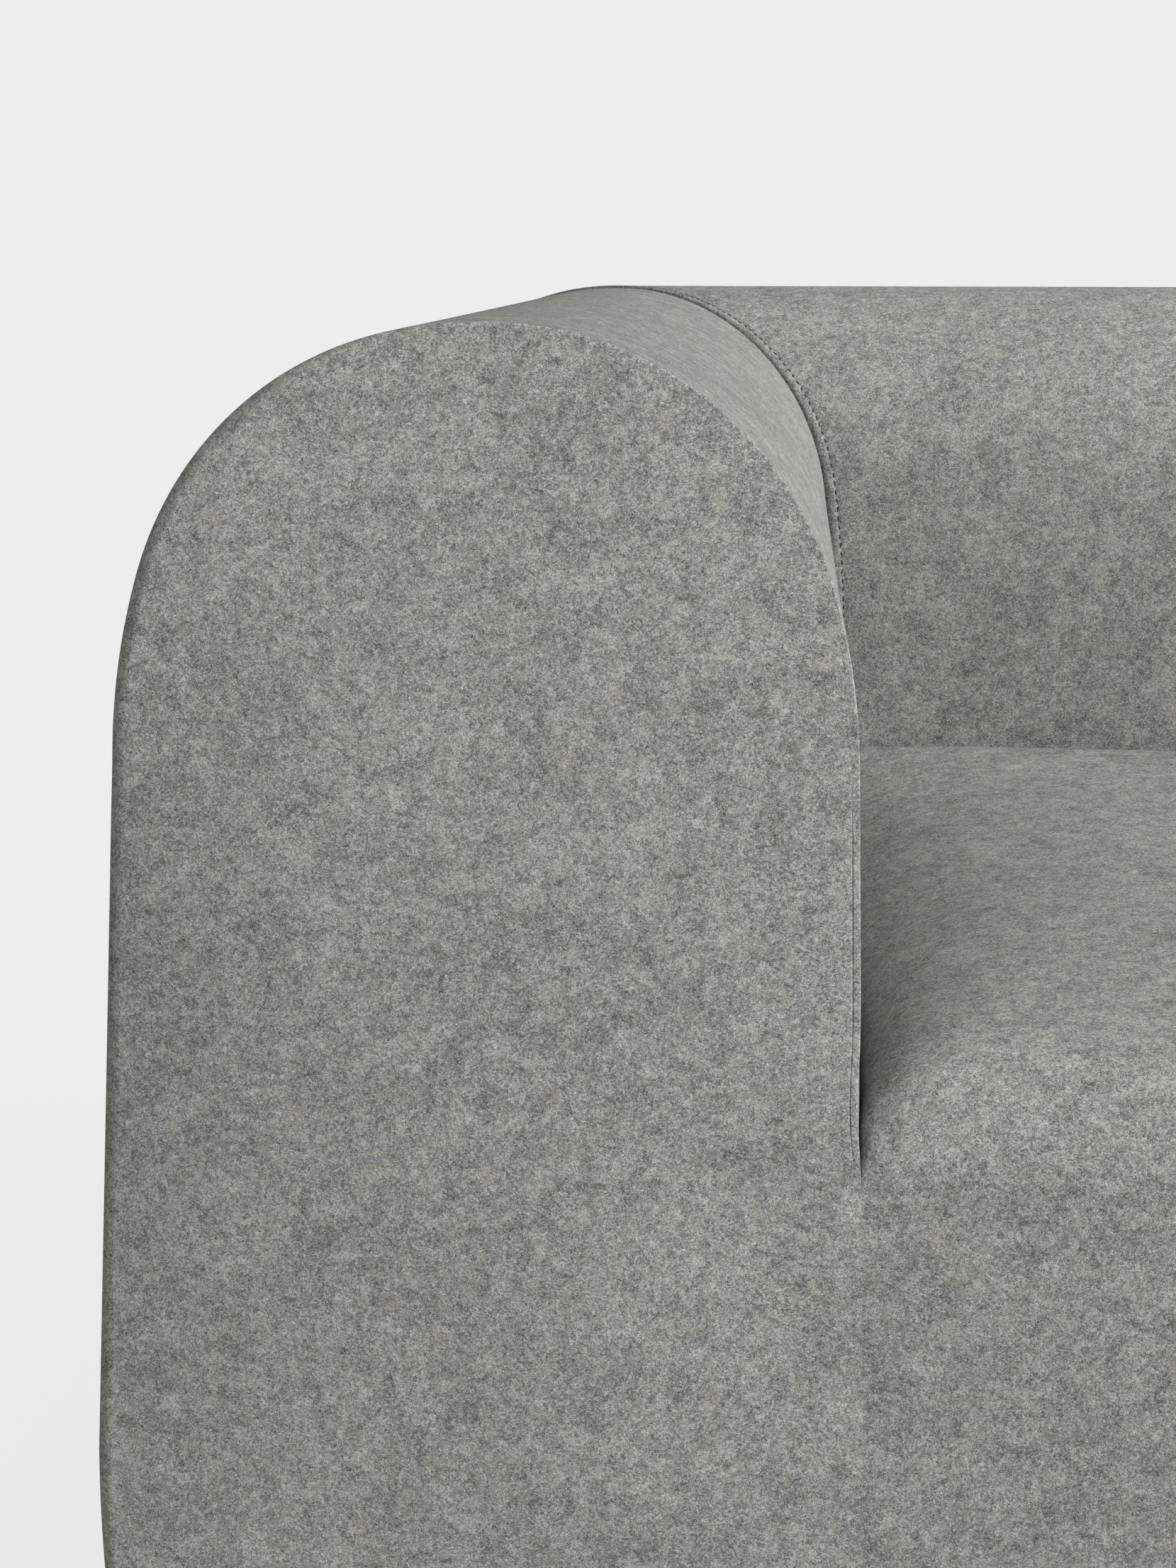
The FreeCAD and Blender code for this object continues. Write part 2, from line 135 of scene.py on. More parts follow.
def outline(half, inset=0.0):
    # offset from the section's middle and height of every loop point, for a half width drawn in by inset
    ease = bolster["ease"]
    a = half - inset + loopFull
    top = topZ - inset + loopFull
    rise = top - shoulderZ
    crown = a - ease
    shoulder = (a - rise) ** 2 / (2 * ease) + rise
    turn = np.arctan2(top - crown - shoulderZ, shoulder - a)
    hem = bolster["hemRadius"]
    rollZ = groundZ + hem
    rollAngle = (loopPart - 1) * math.pi / 2
    footU = a + loopFlare - tuckIn(rollZ) * loopTuck
    footZ = rollZ + (tuckZ - rollZ) * loopPart
    lowAngle = turn * loopPart
    highAngle = turn + (math.pi / 2 - turn) * loopPart
    which = [loopSegment == k for k in range(5)]
    u = np.select(which, [
        footU - hem + hem * np.cos(rollAngle),
        a + loopFlare - tuckIn(footZ) * loopTuck,
        a + loopFlare * (1 - loopPart),
        a - shoulder + shoulder * np.cos(lowAngle),
        crown * np.cos(highAngle),
    ])
    flat = np.zeros_like(a + loopPart)
    z = np.select(which, [
        flat + rollZ + hem * np.sin(rollAngle),
        flat + footZ,
        flat + tuckZ + (shoulderZ - tuckZ) * loopPart,
        flat + shoulderZ + shoulder * np.sin(lowAngle),
        flat + top - crown + crown * np.sin(highAngle),
    ])
    return loopSide * u, z


def sample(grid, row, col):
    # Catmull-Rom reading of a coarse grid at fractional rows and columns;
    # the grid runs on straight past its ends
    wider = np.pad(grid, ((1, 1), (1, 1), (0, 0)), "reflect", reflect_type="odd")

    def taps(x, count):
        base = np.clip(np.floor(x).astype(int), 0, count - 2)
        f = x - base
        weights = [
            -0.5 * f + f**2 - 0.5 * f**3,
            1 - 2.5 * f**2 + 1.5 * f**3,
            0.5 * f + 2 * f**2 - 1.5 * f**3,
            -0.5 * f**2 + 0.5 * f**3,
        ]
        return [(base + k, weights[k]) for k in range(4)]

    total = 0.0
    for i, wi in taps(row, grid.shape[0]):
        for j, wj in taps(col, grid.shape[1]):
            total = total + wider[i, j] * (wi * wj)[..., None]
    return total


def gridFaces(rows, cols, start=0, wrap=False):
    index = start + np.arange(rows * cols).reshape(rows, cols)
    if wrap:
        index = np.append(index, index[:, :1], axis=1)
    return np.stack([index[:-1, :-1], index[:-1, 1:], index[1:, 1:], index[1:, :-1]], -1).reshape(-1, 4)


# cloth that the filling presses outwards from within, held along its seams
swelling = {
    "pressure": 4.0,
    "tension": 30.0,
    "shear": 10.0,
    "bending": 4.0,
    "airDamping": 4,
    "mass": 0.4,
    "quality": 6,
    "frames": 20,
    "least": 1e-9,
}


def swell(name, grid, held, cap, flip=False):
    rows, cols = grid.shape[:2]
    faces = gridFaces(rows, cols)
    if flip:
        faces = faces[:, ::-1]
    mesh = bpy.data.meshes.new(name)
    mesh.from_pydata(grid.reshape(-1, 3).tolist(), [], faces.tolist())
    cloth = bpy.data.objects.new(name, mesh)
    bpy.context.scene.collection.objects.link(cloth)
    pins = cloth.vertex_groups.new(name="held")
    pins.add(np.flatnonzero(held.ravel()).tolist(), 1.0, "REPLACE")
    modifier = cloth.modifiers.new("cloth", "CLOTH")
    settings = modifier.settings
    settings.quality = swelling["quality"]
    settings.mass = swelling["mass"]
    settings.tension_stiffness = swelling["tension"]
    settings.compression_stiffness = swelling["tension"]
    settings.shear_stiffness = swelling["shear"]
    settings.bending_stiffness = swelling["bending"]
    settings.air_damping = swelling["airDamping"]
    settings.use_pressure = True
    settings.uniform_pressure_force = swelling["pressure"]
    settings.vertex_group_mass = "held"
    settings.effector_weights.gravity = 0
    modifier.collision_settings.use_collision = False
    modifier.point_cache.frame_start = 1
    modifier.point_cache.frame_end = swelling["frames"]
    scene = bpy.context.scene
    for f in range(1, swelling["frames"] + 1):
        scene.frame_set(f)
    shown = cloth.evaluated_get(bpy.context.evaluated_depsgraph_get())
    moved = np.empty(rows * cols * 3)
    shown.data.vertices.foreach_get("co", moved)
    shift = moved.reshape(rows, cols, 3) - grid
    bpy.data.objects.remove(cloth)
    bpy.data.meshes.remove(mesh)
    scene.frame_set(1)
    far = np.linalg.norm(shift, axis=-1).max()
    print("stage: cloth", name, "moved", round(far / mm, 2), "mm, capped at", round(cap / mm, 2))
    return shift * min(1.0, cap / max(far, swelling["least"]))


class Field:
    # a shader socket with arithmetic
    def __init__(self, tree, socket):
        self.tree = tree
        self.socket = socket

    def put(self, target, value):
        if isinstance(value, Field):
            self.tree.links.new(value.socket, target)
        else:
            target.default_value = value

    def node(self, kind, inputs=None, output=0, **options):
        made = self.tree.nodes.new(kind)
        for key, value in options.items():
            setattr(made, key, value)
        for key, value in (inputs or {}).items():
            self.put(made.inputs[key], value)
        return Field(self.tree, made.outputs[output])

    def maths(self, operation, a, b, clamp=False):
        return self.node("ShaderNodeMath", {0: a, 1: b}, operation=operation, use_clamp=clamp)

    def __add__(self, other):
        return self.maths("ADD", self, other)

    def __radd__(self, other):
        return self.maths("ADD", other, self)

    def __sub__(self, other):
        return self.maths("SUBTRACT", self, other)

    def __rsub__(self, other):
        return self.maths("SUBTRACT", other, self)

    def __mul__(self, other):
        return self.maths("MULTIPLY", self, other)

    def __rmul__(self, other):
        return self.maths("MULTIPLY", other, self)

    def __pow__(self, other):
        return self.maths("POWER", self, other)

    def __abs__(self):
        return self.maths("ABSOLUTE", self, 0.0)

    def within(self, low, high, toLow=0.0, toHigh=1.0):
        return self.node("ShaderNodeMapRange", {0: self, 1: low, 2: high, 3: toLow, 4: toHigh},
                         interpolation_type="SMOOTHSTEP")


def newMaterial(name):
    material = bpy.data.materials.new(name)
    material.use_nodes = True
    tree = material.node_tree
    tree.nodes.clear()
    coord = tree.nodes.new("ShaderNodeTexCoord")
    place = Field(tree, coord.outputs["Object"])
    shader = tree.nodes.new("ShaderNodeBsdfPrincipled")
    output = tree.nodes.new("ShaderNodeOutputMaterial")
    tree.links.new(shader.outputs[0], output.inputs["Surface"])
    return material, place, shader


def noise(place, scale, detail=1.0, rough=0.5, distortion=0.0, offset=0.0):
    where = place
    if offset:
        elsewhere = (offset, 0.7 * offset, -offset)  # another part of the noise field
        where = place.node("ShaderNodeVectorMath", {0: place, 1: elsewhere}, operation="ADD")
    return place.node("ShaderNodeTexNoise", {
        "Vector": where, "Scale": scale, "Detail": detail, "Roughness": rough, "Distortion": distortion})


def mix(factor, a, b):
    # colour a towards colour b by factor
    anchor = factor if isinstance(factor, Field) else a
    return anchor.node("ShaderNodeMix", {0: factor, 6: a, 7: b}, output=2, data_type="RGBA")


# grey melange felt: curly fibres are the zero lines of warped noise, over clouds of several sizes
felt = {
    "dark": (0.061, 0.064, 0.0625, 1),
    "light": (0.518, 0.522, 0.482, 1),
    "warm": (0.50, 0.46, 0.34, 1),
    "cool": (0.17, 0.21, 0.26, 1),
    "layers": (  # noise scale per metre, weight, distortion
        (1700.0, 1.30, 0.6),
        (900.0, 1.06, 1.0),
        (460.0, 0.76, 1.2),
        (240.0, 0.50, 0.9),
        (118.0, 0.36, 0.6),
        (60.0, 0.28, 0.4),
        (30.0, 0.16, 0.2),
        (11.0, 0.08, 0.0),
    ),
    "layerDetail": (1.5, 0.55),
    "layerOffset": (1.7, 3.1),  # first offset and the step from layer to layer
    "lightStrand": ((330.0, 1.0, 0.5, 2.2, 9.4), 0.035),  # noise, half width of the fibre
    "darkStrand": ((260.0, 1.0, 0.5, 2.6, 4.6), 0.04),
    "strandWeight": 0.09,
    "warmSpot": ((120.0, 2.0, 0.6, 0.8, 12.5), (0.48, 0.78), 0.24),  # noise, range, weight
    "coolSpot": ((230.0, 1.0, 0.5, 1.0, 15.1), (0.62, 0.80), 0.30),
    "lay": (0.97, 0.97, 1.05),  # fibres lie a little more level than upright
    "base": 0.63,
    "curve": 1.7,  # evens out light and dark specks
    "relief": ((1, 0.5), (2, 0.7), (3, 0.5)),  # layer, weight
    "strandRelief": 0.25,
    "reliefStrength": 0.5,
    "reliefDepth": 0.7 * mm,
    "roughness": 0.95,
    "specular": 0.12,
    "sheen": 0.06,
    "sheenRoughness": 0.5,
}


def strandOf(place, setting):
    # thin curly lines where the warped noise is close to its middle value
    waves, width = setting
    return abs(noise(place, *waves) - 0.5).within(0.0, width, 1.0, 0.0)


def feltMaterial():
    material, place, shader = newMaterial("greyFelt")
    laid = place.node("ShaderNodeMapping", {"Vector": place, "Scale": felt["lay"]})
    offset, step = felt["layerOffset"]
    parts = [noise(laid, scale, *felt["layerDetail"], twist, step * k + offset)
             for k, (scale, weight, twist) in enumerate(felt["layers"])]
    strand = strandOf(place, felt["lightStrand"])
    strandDark = strandOf(place, felt["darkStrand"])
    tone = felt["base"] + strand * felt["strandWeight"] - strandDark * felt["strandWeight"]
    for part, (scale, weight, twist) in zip(parts, felt["layers"]):
        tone = tone + (part - 0.5) * weight
    colour = mix(tone.maths("ADD", tone, 0.0, True) ** felt["curve"], felt["dark"], felt["light"])
    for tint, spot in (("warm", "warmSpot"), ("cool", "coolSpot")):
        waves, span, weight = felt[spot]
        colour = mix(noise(place, *waves).within(*span) * weight, colour, felt[tint])
    colour.put(shader.inputs["Base Color"], colour)
    height = strand * felt["strandRelief"]
    for k, weight in felt["relief"]:
        height = height + parts[k] * weight
    bump = height.node("ShaderNodeBump", {
        "Strength": felt["reliefStrength"], "Distance": felt["reliefDepth"], "Height": height})
    bump.put(shader.inputs["Normal"], bump)
    shader.inputs["Roughness"].default_value = felt["roughness"]
    shader.inputs["Specular IOR Level"].default_value = felt["specular"]
    shader.inputs["Sheen Weight"].default_value = felt["sheen"]
    shader.inputs["Sheen Roughness"].default_value = felt["sheenRoughness"]
    return material


# streaked or mottled finish of the parts inside: noise stretched along one axis, for tone, gloss and relief
grain = {
    "detail": 4.0,
    "rough": 0.6,
    "twist": 0.6,
    "speckFiner": 3.1,
    "speckDetail": 2.0,
    "speckOffset": 2.3,
    "streakShare": 0.75,
    "span": (0.3, 0.7),
    "glossSpread": 0.25,
    "reliefStrength": 0.2,
    "reliefDepth": 0.4 * mm,
}
even = (1, 1, 1)
tones = {  # dark and light tone, noise scale per metre, stretch, roughness, metal
    "plywood": ((0.38, 0.24, 0.12, 1), (0.62, 0.45, 0.27, 1), 60, (1, 1, 7), 0.6, 0.0),
    "timber": ((0.36, 0.22, 0.11, 1), (0.58, 0.40, 0.23, 1), 45, (0.3, 1, 5), 0.6, 0.0),
    "springSteel": ((0.12, 0.12, 0.13, 1), (0.30, 0.30, 0.31, 1), 140, even, 0.35, 1.0),
    "zincSteel": ((0.42, 0.43, 0.44, 1), (0.66, 0.67, 0.68, 1), 220, even, 0.32, 1.0),
    "coatedSteel": ((0.02, 0.02, 0.022, 1), (0.05, 0.05, 0.052, 1), 320, even, 0.45, 0.0),
    "blackPlastic": ((0.012, 0.012, 0.013, 1), (0.03, 0.03, 0.031, 1), 420, even, 0.5, 0.0),
    "dustCloth": ((0.012, 0.012, 0.013, 1), (0.05, 0.05, 0.052, 1), 700, even, 0.9, 0.0),
    "thread": ((0.13, 0.13, 0.125, 1), (0.26, 0.26, 0.25, 1), 900, even, 0.85, 0.0),
    # seam thread: its near-black tone is painted shade, for the shadowed holes where the stitches sink into
    # the felt
    "threadWithPaintedShade": ((0.022, 0.022, 0.022, 1), (0.06, 0.06, 0.058, 1), 900, even, 0.8, 0.0),
}
finishOfNodes = {
    "plywood": ("arm_ribs", "back_ribs", "base_board"),
    "timber": ("arm_stringers", "back_stringers", "corner_post", "front_rail", "rear_rail", "arm_rail",
               "joint_rail", "corner_blocks"),
    "springSteel": ("seat_springs",),
    "zincSteel": ("spring_clips", "foot_nuts", "frame_screws", "connector_screws"),
    "coatedSteel": ("connectors",),
    "blackPlastic": ("front_outer_foot", "rear_outer_foot", "front_joint_foot", "rear_joint_foot"),
}


def grainMaterial(name, dark, light, scale, stretch, rough, metal):
    material, place, shader = newMaterial(name)
    mapped = place.node("ShaderNodeMapping", {"Vector": place, "Scale": stretch})
    streak = noise(mapped, scale, grain["detail"], grain["rough"], grain["twist"])
    finer = scale * grain["speckFiner"]
    speck = noise(place, finer, grain["speckDetail"], grain["rough"], 0.0, grain["speckOffset"])
    tone = (streak * grain["streakShare"] + speck * (1 - grain["streakShare"])).within(*grain["span"])
    colour = mix(tone, dark, light)
    colour.put(shader.inputs["Base Color"], colour)
    gloss = rough + (speck - 0.5) * grain["glossSpread"]
    gloss.put(shader.inputs["Roughness"], gloss)
    bump = tone.node("ShaderNodeBump", {
        "Strength": grain["reliefStrength"], "Distance": grain["reliefDepth"], "Height": streak})
    bump.put(shader.inputs["Normal"], bump)
    shader.inputs["Metallic"].default_value = metal
    return material


feltCover = feltMaterial()
finishes = {name: grainMaterial(name, *row) for name, row in tones.items()}
for finish, names in finishOfNodes.items():
    for name in names:
        for side in ("left_", "right_"):
            nodes[side + name].data.materials.clear()
            nodes[side + name].data.materials.append(finishes[finish])
print("stage: materials")
mergeDistance = 2e-6


def addPiece(name, points, faces, material, replaced=()):
    # the left piece and its mirror image, each riding its own module
    made = []
    for side, mirror in (("left", 1), ("right", -1)):
        mesh = bpy.data.meshes.new(side + name)
        turned = faces if mirror > 0 else [f[::-1] for f in faces]
        mesh.from_pydata((points * (mirror, 1, 1)).tolist(), [], turned)
        shape = bmesh.new()
        shape.from_mesh(mesh)
        bmesh.ops.remove_doubles(shape, verts=shape.verts, dist=mergeDistance)
        shape.to_mesh(mesh)
        shape.free()
        mesh.shade_smooth()
        mesh.materials.append(material)
        piece = bpy.data.objects.new(side + name, mesh)
        bpy.context.scene.collection.objects.link(piece)
        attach(piece, side + "_module")
        if replaced:
            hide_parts(*[side + "_" + n for n in replaced])
        made.append(piece)
    return made


stitch = {"rings": 7, "around": 6, "jitter": 0.08, "blunt": 0.6}


def addStitches(name, line, normal, row, material):
    # a row of stitches: small ellipsoids along a line on a surface, half sunk in it
    rng = np.random.default_rng(row["seed"])
    step = np.linalg.norm(np.diff(line, axis=0), axis=1)
    run = np.append(0, np.cumsum(step))
    count = int(run[-1] / row["pitch"])
    at = (np.arange(count) + 0.5 + rng.uniform(-stitch["jitter"], stitch["jitter"], count)) * row["pitch"]

    def read(values, s):
        return np.stack([np.interp(s, run, values[:, k]) for k in range(3)], -1)

    middle = read(line, at)
    along = read(line, at + row["pitch"] / 4) - read(line, at - row["pitch"] / 4)
    along /= np.linalg.norm(along, axis=1, keepdims=True)
    up = read(normal, at)
    up -= along * (up * along).sum(1, keepdims=True)
    up /= np.linalg.norm(up, axis=1, keepdims=True)
    across = np.cross(along, up)
    skew = rng.normal(0, row["skew"], (count, 1))
    tilted = along + across * skew
    tilted /= np.linalg.norm(tilted, axis=1, keepdims=True)
    middle = middle + across * rng.normal(0, row["wander"], (count, 1)) - up * row["sink"]
    rings, around = stitch["rings"], stitch["around"]
    angle = np.linspace(0, math.pi, rings)
    turn = np.arange(around) * 2 * math.pi / around
    reach = -np.cos(angle) * row["length"] / 2
    girth = np.sin(angle) ** stitch["blunt"] * row["radius"]
    points = (middle[:, None, None] + tilted[:, None, None] * reach[None, :, None, None]
              + (up[:, None, None] * np.cos(turn)[None, None, :, None]
                 + across[:, None, None] * np.sin(turn)[None, None, :, None]) * girth[None, :, None, None])
    one = gridFaces(rings, around, 0, True)[:, ::-1]
    faces = (one[None] + (np.arange(count) * rings * around)[:, None, None]).reshape(-1, 4)
    print("stage: stitches", name, count)
    return addPiece(name, points.reshape(-1, 3), faces.tolist(), material)


def surfaceNormal(grid):
    return np.cross(np.gradient(grid, axis=1), np.gradient(grid, axis=0))


# arm: flat front panel, rolled edge, band running back and a mitred seam
arm = {
    "edge": 1.0 * mm,
    "outerEdge": 10 * mm,
    "flushEdge": 0.15 * mm,
    "slitLow": 264 * mm,
    "slitHigh": 298 * mm,
    "dart": 1.8 * mm,
    "dartAt": 306 * mm,
    "lean": 34 * mm,
    "leanFrom": 430 * mm,
    "leanReach": 220 * mm,
    "turnBack": 6 * mm,
    "panelOffsets": np.array([22, 17, 13, 10, 7.5, 5.8, 4.7, 4.0, 3.6, 3.3, 3.15, 3.0, 2.85, 2.7, 2.4,
                              2.0, 1.4, 0.8, 0.4, 0]) * mm,
    "edgeAngles": np.radians([78, 66, 54, 36, 18, 0]),
    "bandSteps": 54,
    "zone": 30 * mm,
    "seamDistances": np.array([24, 19, 15, 12, 9.5, 7.6, 6.2, 5.4, 4.8, 4.2, 3.4, 2.7, 2.0, 1.4, 0.9,
                               0.55, 0.3, 0.1, 0.02]) * mm,
    "seamDepth": 3.0 * mm,
    "seamWidth": 0.6 * mm,
    "lipDepth": 0.9 * mm,
    "lipWidth": 0.35 * mm,
    "ridgeEnd": 3.8 * mm,
    "rearSink": 2.6 * mm,
    "panelSwell": 19 * mm,
    "bandSwell": 2.5 * mm,
    "stitchOffset": 3.0 * mm,
    "stitchDepth": 0.6 * mm,
    "stitchWidth": 0.28 * mm,
    "crispTo": 400 * mm,
    "flushDepth": 0.5 * mm,
    "flushTip": 1.4 * mm,
    "flushWidth": 5 * mm,
    "flushEase": 130 * mm,
    "flushTipHeight": 14 * mm,
    "dartHeight": 26 * mm,
    "dartReach": 40 * mm,
    "outerEdgeTurn": (0.7, 1.5),  # angles round the shoulder over which the wide edge ends
    "crispLeast": 0.12,
    "ditchPower": 1.3,
    "ridgeEase": 1.2 * mm,
    "dipShift": 0.4 * mm,
    "dipWidth": 0.7 * mm,
    "dipShare": 2.0,  # dip along the stitches, as a share of the ridge
    "dotDepth": 0.1 * mm,
    "dotAt": 2.7 * mm,
    "dotWidth": 0.8 * mm,
    "turnIn": 12 * mm,  # cloth that goes on into the seam
    "stitchedAbove": 0.6,  # how far the panel's stitches reach down the slit
    "stitchedWide": 0.5,  # and round to the wide outer edge
    "leastWidth": 1 * mm,
    "fill": 0.9,
    "panelAcross": 73,
    "panelCloth": (44, 25),
    "panelTop": 6,  # rows short of the crown, where the panel's cloth ends
    "clothRows": 20,
    "loopCloth": 67,
    "fadeFrom": 0.6,  # share of the band from which the swelling dies away to the seam
    "seamFrom": 20 * mm,  # height above the hem at which the seam's stitches begin
    "panelStitches": {"pitch": 6 * mm, "length": 3.4 * mm, "radius": 0.26 * mm, "sink": 0.08 * mm,
                      "wander": 0.1 * mm, "skew": 0.06, "seed": 3},
    "seamStitches": {"pitch": 6 * mm, "length": 2.2 * mm, "radius": 0.45 * mm, "sink": 0.1 * mm,
                     "wander": 0.1 * mm, "skew": 0.1, "seed": 4},
}


def seamInset(distance, ridge):
    # a narrow ditch at the seam; the ridge is the stitched-down allowance on the backrest's side,
    # with a dip along its stitches
    depth, width = (arm["seamDepth"], arm["seamWidth"]) if ridge == 0 else (arm["lipDepth"], arm["lipWidth"])
    ditch = depth * np.exp(-(distance / width) ** arm["ditchPower"])
    end = arm["ridgeEnd"]
    lift = ridge * (1 - smooth(end - arm["ridgeEase"], end, distance))
    dip = arm["dipShare"] * ridge * bell(distance - end - arm["dipShift"], arm["dipWidth"])
    dots = arm["dotDepth"] * bell(distance - arm["dotAt"], arm["dotWidth"]) * (ridge == 0)
    return ditch - lift + dip + dots


def flushDip(z):
    # depth of the shallow groove where the panel runs on into the seat front, deepest at the slit's end
    return arm["flushDepth"] + arm["flushTip"] * bell(z - arm["slitLow"], arm["flushTipHeight"])


def dartPull(deep, z):
    # the edge above the slit's end is pulled outwards a little
    high = bell(z - arm["dartAt"], arm["dartHeight"])
    return arm["dart"] * high * (1 - smooth(0, arm["dartReach"], deep))


def bandLoops(corner, start, steps, ridge, sinkStart, sinkEnd):
    # loops from the front or joint edge to the seam; distance from the seam is measured square to its plane
    half = bolster["half"]
    share = np.linspace(0, 1, steps + 1)[1:, None]
    distances = arm["seamDistances"][:, None]
    u = np.tile(outline(half + np.zeros(loopCount))[0], (steps + len(distances), 1))
    for k in range(4):  # the seam's place depends on the section's width, which depends on it in turn
        meet = corner - u
        far = meet[:steps] - arm["zone"] * math.sqrt(2)
        v = np.append(start + (far - start) * share, meet[steps:] - distances * math.sqrt(2), axis=0)
        drawn = np.where(loopSide > 0, bolster["cornerDraw"] * v / meet, 0.0)
        gone = (meet - v) / math.sqrt(2)
        sink = sinkStart + (sinkEnd - sinkStart) * v / meet
        u, z = outline(half - drawn, seamInset(gone, ridge) + sink)
    return u, v, z


def closeCap(loop):
    # rows of faces across a loop, from its outer to its inner side
    rows = np.arange(rowCount)
    left, right = loop + rows, loop + loopCount - 1 - rows
    return np.stack([left[:-1], right[:-1], right[1:], left[1:]], -1)


def heldEdges(shape):
    held = np.zeros(shape[:2], bool)
    held[[0, -1]] = True
    held[:, [0, -1]] = True
    return held


def evenly(line, first, last, count):
    # points of a line about equally far apart along it, and where every point lies between them
    along = np.insert(np.cumsum(np.linalg.norm(np.diff(line, axis=0), axis=1)), 0, 0.0)
    wanted = np.linspace(along[first], along[last], count)
    at = np.unique(np.clip(np.searchsorted(along, wanted - 1e-9), first, last))
    return at, np.interp(along, along[at], np.arange(len(at)))


def stacked(*parts):
    return np.concatenate([np.atleast_2d(p) for p in parts])


def swellBand(name, grid, first, last, rows, cap, flip=False):
    # the filling presses the band between two held loops outwards
    pointAt, pointRead = evenly(grid[(first + last) // 2], 0, loopCount - 1, arm["loopCloth"])
    loopAt = np.round(np.linspace(first, last, rows)).astype(int)
    coarse = grid[loopAt][:, pointAt]
    bulge = swell(name, coarse, heldEdges(coarse.shape), cap, flip)
    loopRead = np.interp(np.arange(first, last + 1), loopAt, np.arange(rows))
    fade = 1 - smooth(arm["fadeFrom"] * (rows - 1), rows - 1, loopRead)[:, None, None]
    row, col = np.broadcast_arrays(loopRead[:, None], pointRead[None])
    grid[first:last + 1] += fade * sample(bulge, row, col)


